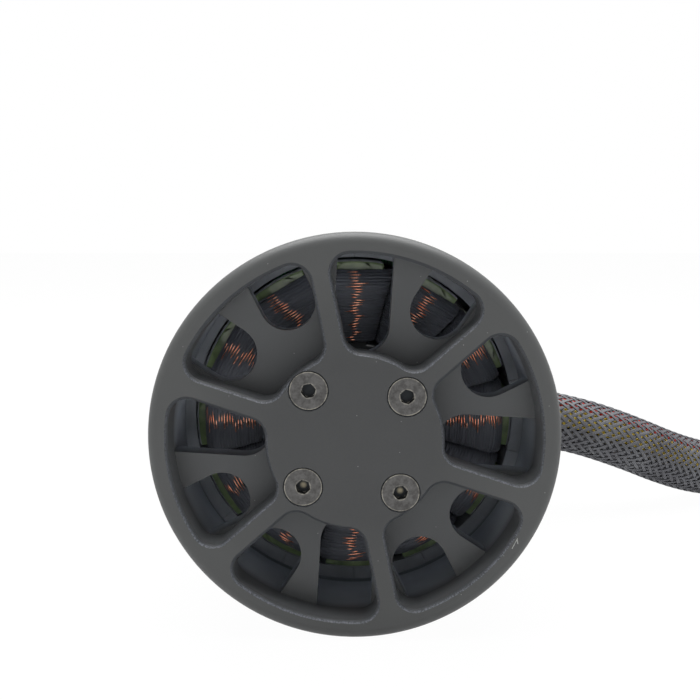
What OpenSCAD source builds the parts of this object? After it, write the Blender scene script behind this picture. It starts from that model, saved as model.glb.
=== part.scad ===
// Outrunner motor for an electric skateboard, with its cable.
// Each piece is drawn with the motor's axis along Z, the mounting face at z = 0 and
// the face of the bell at the top. lay_down() then turns the axis along Y, so that the
// bell looks towards -Y and the shaft sticks out towards +Y, as the motor lies on a table.

/* [Body] */
// Outer diameter of the bell, the can and the base
can_d = 63; // [62:0.5:66]
// Length from the face of the bell to the mounting face
body_len = 74; // [72:0.5:80]
// Height of the fixed base
base_h = 18; // [17.5:0.25:19]
// Thickness of the base's mounting plate
plate_t = 5; // [4:0.5:6]

/* [Bell] */
// Diameter of the circle that the windows reach
window_out_d = 56.6; // [56:0.1:57.2]
// Diameter of the closed hub
hub_d = 27.2; // [27:0.1:28]
// Number of raised ribs, with a window between each two
rib_count = 6; // [6]
// Width of a raised rib
rib_w = 3.2; // [3:0.05:3.2]
// Radius of the corners of a window
window_corner_r = 2.8; // [2:0.1:3]
// Chamfer along the edge of a window
window_chamfer = 0.45; // [0.2:0.05:0.6]
// How far the spokes lie behind the face
recess_depth = 5; // [4:0.25:5.5]
// Thickness of the recessed spokes
spoke_t = 3.5; // [3:0.25:4]
// Number of U-shaped slots between the spokes
slot_count = 12; // [12]
// Width of a slot
slot_w = 8.7; // [8:0.1:8.7]
// Distance from the axis to the bottom of a short slot
short_slot_r = 18.9; // [18.5:0.1:19.5]
// Distance from the axis to the bottom of a deep slot, one in three
deep_slot_r = 12.9; // [12.8:0.1:13.4]
// Fillet round the rim
rim_fillet = 1.8; // [1:0.1:2.4]
// Turn of the whole bell about the axis, seen from the front
bell_turn = -3.5; // [-30:0.5:30]

/* [Shaft] */
// Diameter of the shaft
shaft_d = 8; // [8]
// Length of shaft beyond the mounting face
shaft_out = 28; // [26:1:40]
// Diameter of the flange that carries the bell
flange_d = 25.4; // [25.2:0.1:25.6]
// Width of the keyway
key_w = 3; // [2:0.5:3]
// Length of the keyway
key_len = 20; // [12:1:20]
// Diameter of the circle of the bell's screws
screw_circle_d = 21; // [20.6:0.1:21]

/* [Stator] */
// Diameter over the stator's teeth
stator_d = 54; // [53.8:0.1:54]
// Number of stator teeth
tooth_count = 12; // [12]
// Number of magnets
magnet_count = 14; // [14]
// Width of a tooth
tooth_w = 5; // [4.8:0.1:5.4]
// Angle that the tip of a tooth spans
tip_angle = 22; // [20:0.5:26]
// Length of the stack of laminations
stack_len = 33; // [30:0.5:33]

/* [Mounting] */
// Diameter of the circle of the mounting screws
mount_circle_d = 44; // [44]
// Diameter of a mounting thread
mount_hole_d = 3.3; // [3.3:0.1:4]
// Turn of the base about the axis: the direction in which the cable leaves
cable_turn = -13; // [-13]

/* [Cable] */
// Diameter of the braided sleeve
sleeve_d = 12.8; // [12:0.1:12.8]
// Diameter of a phase wire
wire_d = 4.4; // [4:0.1:4.6]
// Diameter of the bundle of sensor wires
sensor_d = 3; // [2.6:0.1:3.2]

/* [Hidden] */
$fn = 96;
eps = 0.01;

can_r = can_d / 2;
window_r = window_out_d / 2;
hub_r = hub_d / 2;
face_z = body_len;
floor_z = face_z - recess_depth;
spoke_z = floor_z - spoke_t;
// The wall of the bell steps out a little behind the face
slot_end_r = window_r + 0.15;
bore_r = window_r + 0.3;
pole_angle = 360 / magnet_count;
tooth_pitch = 360 / tooth_count;

// The steel ring of the can, held on a spigot of the bell
ring_t = 2;
ring_in_r = can_r - ring_t;
ring_top = face_z - 13;
ring_bottom = base_h + 1;
spigot_h = 3.4;
skirt_bottom = ring_top - spigot_h;

// Magnets and air gap
magnet_gap = 0.35;
magnet_in_r = stator_d / 2 + magnet_gap;
magnet_top = face_z - 20;
magnet_bottom = magnet_top - stack_len - 0.5;
magnet_fill = 0.994;

// Stator
stack_top = face_z - 18.7;
stack_bottom = stack_top - stack_len;
stack_mid = (stack_top + stack_bottom) / 2;
stator_r = stator_d / 2;
core_in_r = 11.2;
yoke_r = 13.1;
tip_t = 2;
coil_in_r = 13.4;
coil_out_r = (stator_r - tip_t) * cos(tip_angle / 2) - 0.05;
coil_rows = 10;
coil_gap = 0.2;
crown_h = [2, 3.9];
coil_corner = 0.7;

// Bearings of 8 x 19 x 6 mm
bearing_r = 9.5;
bearing_h = 6;
inner_ring_r = 5.5;
outer_ring_r = 8.1;
pitch_r = 6.75;
ball_r = 1.73;
groove_r = 1.78;
ball_count = 7;
cage_w = 1.2;
cage_low = 0.8;
cage_high = 2.2;
shield_t = 0.3;
shield_in_r = inner_ring_r + 0.3;
shield_inset = 0.15;
rear_bearing_z = 3;
front_bearing_z = 54.5;
shaft_r = shaft_d / 2;

// Shaft flange, shims and circlip
tube_top = front_bearing_z + bearing_h;
shim_t = 0.5;
flange_top = spoke_z;
flange_bottom = tube_top + 1;
flange_boss_r = 5.2;
spigot_len = 3;
spigot_gap = 0.2;
shaft_c = 0.6;
key_depth = 1.8;
key_from = 2;
circlip_z = 1.5;
circlip_t = 1;
circlip_groove_r = 3.6;
circlip_r = 5.2;
circlip_lean = 0.35;
circlip_open = 56;
eye_r = 1.1;
eye_hole_r = 0.5;
eye_off = 6;

// Countersunk M3 screws with a 2 mm socket
screw_count = 4;
screw_len = 12;
screw_r = 1.48;
head_r = 2.88;
head_land = 0.25;
head_sunk = 0.15;
head_top = face_z - head_sunk;
screw_tip_c = 0.4;
socket_af = 2;
socket_depth = 1.3;
sink_r = 3.1;
thread_r = 1.5;
clearance_r = 1.65;

// Base
tube_r = core_in_r;
shoulder_r = 12.8;
tube_bore_r = 8.2;
wall_in_r = 27;
ledge_r = 28.5;
ledge_z = 13.5;
base_window_in_r = 17.6;
base_window_out_r = 26;
base_window_corner_r = 2.4;
base_rib_w = 12;
base_c = 0.8;
mount_boss_r = 4.6;
mount_boss_h = 4;
outlet_z = base_h / 2;

// Grommet
neck_r = 6.6;
collar_r = 8.2;
collar_h = 3;
collar_step = 0.4;
seat_x = 30.2;
seat_gap = 0.1;
grommet_end_x = 43;
grommet_in_x = 24.4;
grommet_tip_r = sleeve_d / 2 + 0.7;

// Ends of the windings in the base, sleeved: the middle one, and those beside it
end_r = 1.9;
middle_end = [
    [19.8, 0, 18.6], [19.9, 0, 17], [20.5, 0, 14.6], [22, 0, 13], [23.2, 0, 12.6], [24.4, 0, 12.6]
];
side_end = [
    [18.6, 9.6, 18.4], [18.6, 9.6, 16.4], [18.9, 9, 13], [19.8, 7, 9.6], [21.4, 4.4, 7.6],
    [23, 3.1, 7.2], [24.4, 3.1, 7.2]
];

// Board with the hall sensors
board_in_r = 21.5;
board_out_r = 28.3;
board_t = 1.6;
board_from = 75;
board_to = 215;
hall_angles = [105, 145, 185];
hall_r = 25.7;
hall_size = [1.5, 4, 3.6];

// Shrink tube, and gold-plated pins with a solder cup, a neck and a spring
shrink_len = 15.5;
cup_r = 2.2;
cup_len = 9.2;
neck_len = 1.2;
pin_neck_r = 1.5;
pin_r = 2;
pin_len = 8.6;
pin_tip_r = 1.3;
pin_tip_len = 1;

// Plug with one row of places
plug_size = [4.5, 16.5, 8];
plug_floor = 3;
plug_hole = [1.5, 1.2];
plug_pitch = 2.5;
plug_places = 6;

// Routes of the cable and its wires, in the frame in which the motor lies.
// The table is at z = -can_r.
sleeve_route = [
    [41.898, -9, -9.673], [46.77, -9, -10.798], [52.9, -8.6, -12.4], [59, -7.7, -14.5],
    [65, -6.4, -16.9], [71, -4.7, -19.5], [77, -2.7, -21.8], [83, -0.2, -23.6], [89, 2.7, -24.7],
    [95, 6.2, -25.1], [101, 10.4, -25.1], [107, 15.2, -25.1], [112.8, 20.7, -25.1],
    [118.3, 26.7, -25.1], [123.4, 33.1, -25.1], [128.2, 39.8, -25.1], [132.7, 46.7, -25.1]
];
red_route = [
    [142.5, 58.82, -22.1], [145.2, 62.96, -22.1], [149.8, 67.2, -22.7], [155.8, 70.3, -24.8],
    [162.2, 73.1, -27.6], [168.9, 76.2, -29.3], [174.5, 79.3, -29.3]
];
yellow_route = [
    [138.8, 61.23, -23.9], [141.2, 64.91, -23.9], [144.2, 70.4, -25.2], [146.6, 77, -27.6],
    [148.5, 84, -29.1], [150.4, 90.3, -29.3], [152.5, 96.4, -29.3]
];
black_route = [
    [143.4, 58.23, -27.2], [146.4, 62.83, -27.2], [149.9, 68.1, -27.9], [153.4, 73.5, -28.9],
    [157.3, 79, -29.3], [161.1, 84.3, -29.3], [165, 89.3, -29.3]
];
sensor_route = [
    [139.6, 60.71, -28.9], [141.9, 64.24, -28.9], [142.9, 70.6, -29.4], [142.9, 77.5, -29.9],
    [142.7, 85, -30], [142.6, 93.2, -30], [142.8, 99.7, -30]
];

// Turns a piece from its drawing position to the lying one
module lay_down() {
    rotate([90, 0, 0]) children();
}

// Copies round the axis
module spread(count, start = 0) {
    for (i = [0:count - 1])
        rotate(start + i * 360 / count) children();
}

module annulus(r_in, r_out) {
    difference() {
        circle(r_out);
        circle(r_in);
    }
}

// Ring between two heights
module ring(r_in, r_out, z_low, z_high) {
    translate([0, 0, z_low])
        linear_extrude(z_high - z_low)
            annulus(r_in, r_out);
}

// Flat wedge of a disc between two angles less than 120 degrees apart
module sector(from, to, r) {
    far = 2 * r;
    polygon([[0, 0], [far * cos(from), far * sin(from)], [far * cos(to), far * sin(to)]]);
}

// Rectangle with round corners, round the origin
module round_rect(w, h, r) {
    square([w - 2 * r, h], center = true);
    square([w, h - 2 * r], center = true);
    for (x = [-1, 1], y = [-1, 1])
        translate([x * (w / 2 - r), y * (h / 2 - r)]) circle(r);
}

// A window between two straight ribs is a piece of ring whose sides run along the
// ribs, with round corners. Its corner circles lie at these distances along a rib.
function corner_off(bar, r) = bar / 2 + r;
function corner_along(centre_r, bar, r) = sqrt(pow(centre_r, 2) - pow(corner_off(bar, r), 2));
function corner_angle(centre_r, bar, r) = asin(corner_off(bar, r) / centre_r);

// Places a corner's shape at both sides of a window of the given angle
module at_both_sides(span) {
    children();
    rotate(span) mirror([0, 1]) children();
}

module window_flat(r_in, r_out, bar, r, span) {
    low = r_in + r;
    high = r_out - r;
    off = corner_off(bar, r);
    a_low = corner_angle(low, bar, r);
    a_high = corner_angle(high, bar, r);
    intersection() {
        annulus(low, r_out);
        sector(a_high, span - a_high, r_out);
    }
    intersection() {
        annulus(r_in, high);
        sector(a_low, span - a_low, r_out);
    }
    intersection() {
        annulus(low, high);
        rotate(span / 2)
            translate([off / sin(span / 2), 0])
                sector(-span / 2, span / 2, r_out);
    }
    at_both_sides(span) {
        along_low = corner_along(low, bar, r);
        along_high = corner_along(high, bar, r);
        translate([along_low, bar / 2]) square([along_high - along_low, r]);
        translate([along_low, off]) circle(r);
        translate([along_high, off]) circle(r);
    }
}

// Chamfer round the upper edge of a window. The edge lies at z = 0.
module window_edge_cut(r_in, r_out, bar, r, span, c) {
    low = r_in + r;
    high = r_out - r;
    off = corner_off(bar, r);
    a_low = corner_angle(low, bar, r);
    a_high = corner_angle(high, bar, r);
    along_low = corner_along(low, bar, r);
    along_high = corner_along(high, bar, r);
    over = 0.2;
    grow = c + over;
    intersection() {
        rotate_extrude() polygon([[low, -c], [r_out, -c], [r_out + grow, over], [low, over]]);
        translate([0, 0, -1]) linear_extrude(2) sector(a_high, span - a_high, r_out);
    }
    intersection() {
        rotate_extrude() polygon([[r_in, -c], [high, -c], [high, over], [r_in - grow, over]]);
        translate([0, 0, -1]) linear_extrude(2) sector(a_low, span - a_low, r_out);
    }
    for (side = [0, 1])
        rotate(side * span)
            mirror([0, side, 0]) {
                translate([along_low, 0, 0])
                    rotate([90, 0, 90])
                        linear_extrude(along_high - along_low)
                            polygon([[bar / 2, -c], [off, -c], [off, over], [bar / 2 - grow, over]]);
                for (along = [along_low, along_high])
                    translate([along, off, -c]) cylinder(h = grow, r1 = r, r2 = r + grow);
            }
}

// The bell turned from solid, without its openings
module bell_blank() {
    edge_r = can_r - rim_fillet;
    rotate_extrude() {
        translate([0, spoke_z]) square([edge_r, face_z - spoke_z]);
        translate([bore_r, ring_top]) square([can_r - bore_r, face_z - rim_fillet - ring_top]);
        translate([bore_r, skirt_bottom]) square([ring_in_r - bore_r, spigot_h + 1]);
        translate([edge_r, face_z - rim_fillet]) circle(rim_fillet);
    }
}

// One of the U slots through the spokes, along +X
module slot_flat(bottom_r) {
    centre_x = bottom_r + slot_w / 2;
    intersection() {
        circle(slot_end_r);
        union() {
            translate([centre_x, 0]) circle(d = slot_w);
            translate([centre_x, -slot_w / 2]) square([can_r, slot_w]);
        }
    }
}

// Countersunk hole from the face down
module sunk_hole() {
    cone_top = head_top - head_land + sink_r - head_r;
    translate([0, 0, spoke_z - 1]) cylinder(h = face_z - spoke_z + 2, r = clearance_r);
    translate([0, 0, cone_top - sink_r]) cylinder(h = sink_r, r1 = 0, r2 = sink_r);
    translate([0, 0, cone_top - eps]) cylinder(h = 1, r = sink_r);
}

module bell_cap() {
    span = 360 / rib_count;
    color("#47484a") lay_down() rotate(bell_turn) difference() {
        bell_blank();
        spread(rib_count, 45) {
            translate([0, 0, floor_z])
                linear_extrude(recess_depth + 1)
                    window_flat(hub_r, window_r, rib_w, window_corner_r, span);
            translate([0, 0, face_z])
                window_edge_cut(hub_r, window_r, rib_w, window_corner_r, span, window_chamfer);
        }
        for (i = [0:slot_count - 1])
            rotate(i * 360 / slot_count)
                translate([0, 0, spoke_z - 1])
                    linear_extrude(spoke_t + 1 + eps)
                        slot_flat(i % 3 == 0 ? deep_slot_r : short_slot_r);
        spread(screw_count, 45) translate([screw_circle_d / 2, 0, 0]) sunk_hole();
        translate([0, 0, spoke_z - 1]) cylinder(h = spigot_len + 1, r = shaft_r);
    }
}

module bell_screw() {
    head_low = head_top - head_land;
    tip = head_top - screw_len;
    difference() {
        union() {
            translate([0, 0, head_low]) cylinder(h = head_land, r = head_r);
            translate([0, 0, head_low - head_r + screw_r])
                cylinder(h = head_r - screw_r, r1 = screw_r, r2 = head_r);
            translate([0, 0, tip + screw_tip_c])
                cylinder(h = screw_len - head_land - head_r + screw_r - screw_tip_c, r = screw_r);
            translate([0, 0, tip]) cylinder(h = screw_tip_c, r1 = screw_r - screw_tip_c, r2 = screw_r);
        }
        translate([0, 0, head_top - socket_depth])
            cylinder(h = socket_depth + 1, d = socket_af / cos(30), $fn = 6);
    }
}

module bell_screws() {
    color("#7a756c") lay_down() rotate(bell_turn)
        spread(screw_count, 45)
            translate([screw_circle_d / 2, 0, 0]) bell_screw();
}

module flux_ring() {
    c = 0.6;
    color("#2e2f31") lay_down() rotate_extrude()
        polygon([
            [ring_in_r, ring_bottom], [can_r - c, ring_bottom], [can_r, ring_bottom + c],
            [can_r, ring_top], [ring_in_r, ring_top]
        ]);
}

module magnet(i) {
    half = pole_angle * magnet_fill / 2;
    color("#3a3b3e") lay_down() rotate(i * pole_angle)
        translate([0, 0, magnet_bottom])
            linear_extrude(magnet_top - magnet_bottom)
                intersection() {
                    annulus(magnet_in_r, ring_in_r);
                    sector(-half, half, can_r);
                }
}

// Outline of the keyway, from its end near the motor along +X
module key_flat() {
    far = key_len - key_w;
    translate([0, -key_w / 2]) square([far, key_w]);
    for (x = [0, far])
        translate([x, 0]) circle(d = key_w);
}

module shaft() {
    color("#b9bbbd") lay_down() rotate(bell_turn) difference() {
        union() {
            translate([0, 0, shaft_c - shaft_out])
                cylinder(h = shaft_out - shaft_c + flange_top + spigot_len - spigot_gap, r = shaft_r);
            translate([0, 0, -shaft_out]) cylinder(h = shaft_c, r1 = shaft_r - shaft_c, r2 = shaft_r);
            translate([0, 0, flange_bottom]) cylinder(h = flange_top - flange_bottom, d = flange_d);
            translate([0, 0, tube_top + shim_t])
                cylinder(h = flange_top - tube_top - shim_t, r = flange_boss_r);
        }
        spread(screw_count, 45)
            translate([screw_circle_d / 2, 0, flange_bottom - 1])
                cylinder(h = flange_top - flange_bottom + 2, r = thread_r);
        ring(circlip_groove_r, shaft_r + 1, circlip_z, circlip_z + circlip_t);
        rotate([0, 90, 0])
            translate([key_from + key_w / 2, 0, shaft_r - key_depth])
                linear_extrude(shaft_r) key_flat();
    }
}

module front_shim() {
    color("#c9cacb") lay_down() ring(shaft_r, flange_boss_r, tube_top, tube_top + shim_t);
}

module rear_shim() {
    color("#c9cacb") lay_down()
        ring(shaft_r, flange_boss_r, circlip_z + circlip_t, rear_bearing_z);
}

// External retaining ring with two eyes for the pliers
module circlip() {
    half = circlip_open / 2;
    color("#55575a") lay_down()
        translate([0, 0, circlip_z])
            linear_extrude(circlip_t)
                difference() {
                    union() {
                        difference() {
                            translate([-circlip_lean, 0]) circle(circlip_r - circlip_lean);
                            sector(-half, half, circlip_r);
                        }
                        at_eyes(half) circle(eye_r);
                    }
                    circle(circlip_groove_r);
                    at_eyes(half) circle(eye_hole_r);
                }
}

// Places a shape at both eyes of the retaining ring
module at_eyes(half) {
    for (side = [-1, 1])
        rotate(side * (half + eye_off)) translate([circlip_r - 0.4, 0]) children();
}

module bearing_inner(z_low) {
    color("#c3c5c7") lay_down() rotate_extrude() difference() {
        translate([shaft_r, z_low]) square([inner_ring_r - shaft_r, bearing_h]);
        translate([pitch_r, z_low + bearing_h / 2]) circle(groove_r);
    }
}

module bearing_outer(z_low) {
    color("#b4b6b8") lay_down() rotate_extrude() difference() {
        translate([outer_ring_r, z_low]) square([bearing_r - outer_ring_r, bearing_h]);
        translate([pitch_r, z_low + bearing_h / 2]) circle(groove_r);
    }
}

module bearing_balls(z_low) {
    color("#d5d7d9") lay_down() spread(ball_count)
        translate([pitch_r, 0, z_low + bearing_h / 2]) sphere(ball_r, $fn = 32);
}

// Cage that holds the balls apart, closed above them
module bearing_cage(z_low) {
    mid = z_low + bearing_h / 2;
    color("#8a7a4a") lay_down() difference() {
        ring(pitch_r - cage_w / 2, pitch_r + cage_w / 2, mid - cage_low, mid + cage_high);
        spread(ball_count) translate([pitch_r, 0, mid]) sphere(ball_r + 0.05, $fn = 32);
    }
}

module bearing_shields(z_low) {
    color("#a9abad") lay_down() {
        low = z_low + shield_inset;
        high = z_low + bearing_h - shield_inset - shield_t;
        ring(shield_in_r, outer_ring_r, low, low + shield_t);
        ring(shield_in_r, outer_ring_r, high, high + shield_t);
    }
}

// The fixed base: plate, wall and bearing tube, machined in one piece
module base_blank() {
    rotate_extrude() {
        polygon([[0, 0], [can_r - base_c, 0], [can_r, base_c], [can_r, plate_t], [0, plate_t]]);
        translate([wall_in_r, plate_t - 1]) square([can_r - wall_in_r, ledge_z - plate_t + 1]);
        translate([ledge_r, plate_t]) square([can_r - ledge_r, base_h - plate_t]);
        square([tube_r, tube_top]);
        square([shoulder_r, stack_bottom]);
    }
    spread(4, 45)
        translate([mount_circle_d / 2, 0, 1]) cylinder(h = plate_t + mount_boss_h - 1, r = mount_boss_r);
}

module base_mount() {
    color("#3f4042") lay_down() rotate(cable_turn) difference() {
        base_blank();
        translate([0, 0, -1]) cylinder(h = rear_bearing_z + bearing_h + 1, r = bearing_r);
        translate([0, 0, rear_bearing_z]) cylinder(h = front_bearing_z, r = tube_bore_r);
        translate([0, 0, front_bearing_z]) cylinder(h = bearing_h + 1, r = bearing_r);
        spread(4, 45)
            translate([mount_circle_d / 2, 0, -1])
                cylinder(h = plate_t + mount_boss_h + 2, d = mount_hole_d);
        spread(4, 45)
            translate([0, 0, -1])
                linear_extrude(plate_t + 2)
                    window_flat(base_window_in_r, base_window_out_r, base_rib_w, base_window_corner_r, 90);
        translate([wall_in_r - 2, 0, outlet_z]) rotate([0, 90, 0]) cylinder(h = can_r, r = neck_r);
        translate([seat_x, 0, outlet_z]) rotate([0, 90, 0]) cylinder(h = can_r, r = collar_r + seat_gap);
    }
}

module tooth_flat() {
    half_w = tooth_w / 2;
    half_tip = tip_angle / 2;
    shoulder = stator_r - tip_t;
    translate([core_in_r + 1, -half_w]) square([shoulder + 0.5 - core_in_r - 1, tooth_w]);
    intersection() {
        annulus(shoulder, stator_r);
        sector(-half_tip, half_tip, stator_r);
    }
}

module stator_core() {
    color("#44523a") lay_down()
        translate([0, 0, stack_bottom])
            linear_extrude(stack_len) {
                annulus(core_in_r, yoke_r);
                spread(tooth_count) tooth_flat();
            }
}

// One coil is wound in rows round its tooth, wider and higher towards the tip
module coil() {
    row_t = (coil_out_r - coil_in_r) / coil_rows;
    for (i = [0:coil_rows - 1]) {
        share = i / (coil_rows - 1);
        near = coil_in_r + i * row_t;
        half_w = near * tan(tooth_pitch / 2) - coil_gap;
        rise = crown_h[0] + share * (crown_h[1] - crown_h[0]);
        translate([near, 0, stack_mid])
            rotate([90, 0, 90])
                linear_extrude(row_t)
                    difference() {
                        round_rect(2 * half_w, stack_len + 2 * rise, half_w * coil_corner);
                        square([tooth_w, stack_len], center = true);
                    }
    }
}

// Teeth of each phase are wound in neighbouring pairs, two pairs opposite each other
module winding(first_pair) {
    color("#b4532f") lay_down()
        for (pair = [first_pair, first_pair + 3], k = [0, 1])
            rotate((2 * pair + k) * tooth_pitch) coil();
}

function unit(v) = v / norm(v);

// Tube along points, with a flat ring of corners at each of them. The direction "up"
// turns the corners of all the rings alike.
module tube(points, r, sides, up = [0, 0, 1]) {
    last = len(points) - 1;
    rings = [
        for (i = [0:last])
            let (
                along = unit(points[min(i + 1, last)] - points[max(i - 1, 0)]),
                side = unit(cross(along, up)),
                over = cross(side, along)
            )
            for (k = [0:sides - 1])
                let (a = 360 * (k + 0.5) / sides)
                points[i] + r / cos(180 / sides) * (cos(a) * side + sin(a) * over)
    ];
    walls = [
        for (i = [0:last - 1], k = [0:sides - 1])
            let (next = (k + 1) % sides)
            [i * sides + k, i * sides + next, (i + 1) * sides + next, (i + 1) * sides + k]
    ];
    ends = [
        [for (k = [sides - 1:-1:0]) k],
        [for (k = [0:sides - 1]) last * sides + k]
    ];
    polyhedron(rings, concat(walls, ends));
}

// Sleeved ends of the three phases, from the windings to the grommet
module winding_ends() {
    level = [0, 1, 0];
    color("#2a2a2c") lay_down() rotate(cable_turn) {
        tube(middle_end, end_r, 10, level);
        for (side = [-1, 1])
            tube([for (p = side_end) [p[0], side * p[1], p[2]]], end_r, 10, level);
    }
}

// Board on the base's ledge, opposite the outlet
module hall_board() {
    color("#2f5a35") lay_down() rotate(cable_turn)
        translate([0, 0, ledge_z])
            linear_extrude(board_t)
                intersection() {
                    annulus(board_in_r, board_out_r);
                    union() {
                        sector(board_from, (board_from + board_to) / 2 + 1, board_out_r);
                        sector((board_from + board_to) / 2, board_to, board_out_r);
                    }
                }
}

module hall_sensors() {
    color("#1d1d1f") lay_down() rotate(cable_turn)
        for (a = hall_angles)
            rotate(a)
                translate([hall_r - hall_size[0] / 2, -hall_size[1] / 2, ledge_z + board_t])
                    cube(hall_size);
}

// Tapered rubber grommet in the outlet of the base
module cable_grommet() {
    color("#232325") lay_down() rotate(cable_turn)
        translate([0, 0, outlet_z])
            rotate([0, 90, 0]) {
                translate([0, 0, grommet_in_x]) cylinder(h = seat_x - grommet_in_x + 1, r = neck_r);
                translate([0, 0, seat_x]) cylinder(h = collar_h, r = collar_r);
                translate([0, 0, seat_x + collar_h])
                    cylinder(h = grommet_end_x - seat_x - collar_h, r1 = collar_r - collar_step,
                        r2 = grommet_tip_r);
            }
}

module cable_sleeve() {
    color("#3a3a3c") tube(sleeve_route, sleeve_d / 2, 12);
}

// Puts a piece drawn along +Z onto the end of a route whose last step is level
module at_end(route) {
    last = len(route) - 1;
    step = route[last] - route[last - 1];
    translate(route[last]) rotate([0, 90, atan2(step[1], step[0])]) children();
}

module shrink_collar() {
    color("#1c1c1e") at_end(sleeve_route) cylinder(h = shrink_len, d = sleeve_d);
}

module bullet(route) {
    neck_end = cup_len + neck_len;
    color("#c9a24a") at_end(route) {
        cylinder(h = cup_len, r = cup_r);
        translate([0, 0, cup_len]) cylinder(h = neck_len, r = pin_neck_r);
        translate([0, 0, neck_end]) cylinder(h = pin_len, r = pin_r);
        translate([0, 0, neck_end + pin_len]) cylinder(h = pin_tip_len, r1 = pin_r, r2 = pin_tip_r);
    }
}

// The plug stands on the table, on the wide side that its bundle's lowest line touches
module sensor_plug() {
    mid_x = (sensor_d - plug_size[0]) / 2;
    color("#e6e4dc") at_end(sensor_route)
        difference() {
            translate([mid_x, 0, plug_size[2] / 2]) cube(plug_size, center = true);
            for (i = [1:plug_places])
                translate([mid_x, (i - (plug_places + 1) / 2) * plug_pitch, plug_floor])
                    linear_extrude(plug_size[2]) square(plug_hole, center = true);
        }
}

bell_cap();
bell_screws();
flux_ring();
for (i = [1:magnet_count])
    magnet(i);
shaft();
front_shim();
rear_shim();
circlip();
bearing_inner(front_bearing_z);  // front_bearing_inner
bearing_inner(rear_bearing_z);  // rear_bearing_inner
bearing_balls(front_bearing_z);  // front_bearing_balls
bearing_cage(front_bearing_z);  // front_bearing_cage
bearing_balls(rear_bearing_z);  // rear_bearing_balls
bearing_cage(rear_bearing_z);  // rear_bearing_cage
bearing_outer(front_bearing_z);  // front_bearing_outer
bearing_outer(rear_bearing_z);  // rear_bearing_outer
bearing_shields(front_bearing_z);  // front_bearing_shields
bearing_shields(rear_bearing_z);  // rear_bearing_shields
base_mount();
stator_core();
winding(0);  // winding_a
winding(1);  // winding_b
winding(2);  // winding_c
winding_ends();
hall_board();
hall_sensors();
cable_grommet();
cable_sleeve();
shrink_collar();
color("#8e2420") tube(red_route, wire_d / 2, 8);  // phase_wire_red
color("#c79a20") tube(yellow_route, wire_d / 2, 8);  // phase_wire_yellow
color("#1b1b1d") tube(black_route, wire_d / 2, 8);  // phase_wire_black
bullet(red_route);  // bullet_red
bullet(yellow_route);  // bullet_yellow
bullet(black_route);  // bullet_black
color("#35363a") tube(sensor_route, sensor_d / 2, 8);  // sensor_wires
sensor_plug();
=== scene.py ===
import math
import random

import bpy
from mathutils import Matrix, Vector


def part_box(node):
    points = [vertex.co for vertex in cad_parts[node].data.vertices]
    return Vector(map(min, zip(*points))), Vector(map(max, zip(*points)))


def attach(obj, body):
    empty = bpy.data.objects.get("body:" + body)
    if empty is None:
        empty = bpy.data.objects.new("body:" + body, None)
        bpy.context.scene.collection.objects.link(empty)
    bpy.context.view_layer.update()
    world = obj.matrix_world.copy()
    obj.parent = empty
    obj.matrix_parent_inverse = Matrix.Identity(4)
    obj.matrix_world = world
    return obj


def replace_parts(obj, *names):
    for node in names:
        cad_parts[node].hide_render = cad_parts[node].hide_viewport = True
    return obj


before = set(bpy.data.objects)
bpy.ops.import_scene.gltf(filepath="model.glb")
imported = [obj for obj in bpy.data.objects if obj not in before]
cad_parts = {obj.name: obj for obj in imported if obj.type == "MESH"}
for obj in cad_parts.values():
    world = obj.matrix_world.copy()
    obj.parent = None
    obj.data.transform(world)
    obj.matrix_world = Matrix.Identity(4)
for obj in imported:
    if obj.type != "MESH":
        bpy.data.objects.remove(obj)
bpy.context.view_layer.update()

# Everything is in metres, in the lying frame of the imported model: the motor's axis runs
# along Y, the face of the bell looks to -Y, and the floor touches the can.
scene = bpy.context.scene
draw = random.Random(7)
MM = 0.001
UP = Vector((0, 0, 1))

can_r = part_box("bell_cap")[1].x
floor_z = -can_r


# Colours and node materials

def tint(code):
    """Linear colour of a #rrggbb code."""
    parts = [int(code[i:i + 2], 16) / 255 for i in (1, 3, 5)]
    return tuple(c / 12.92 if c <= 0.04045 else ((c + 0.055) / 1.055) ** 2.4 for c in parts) + (1,)


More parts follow.
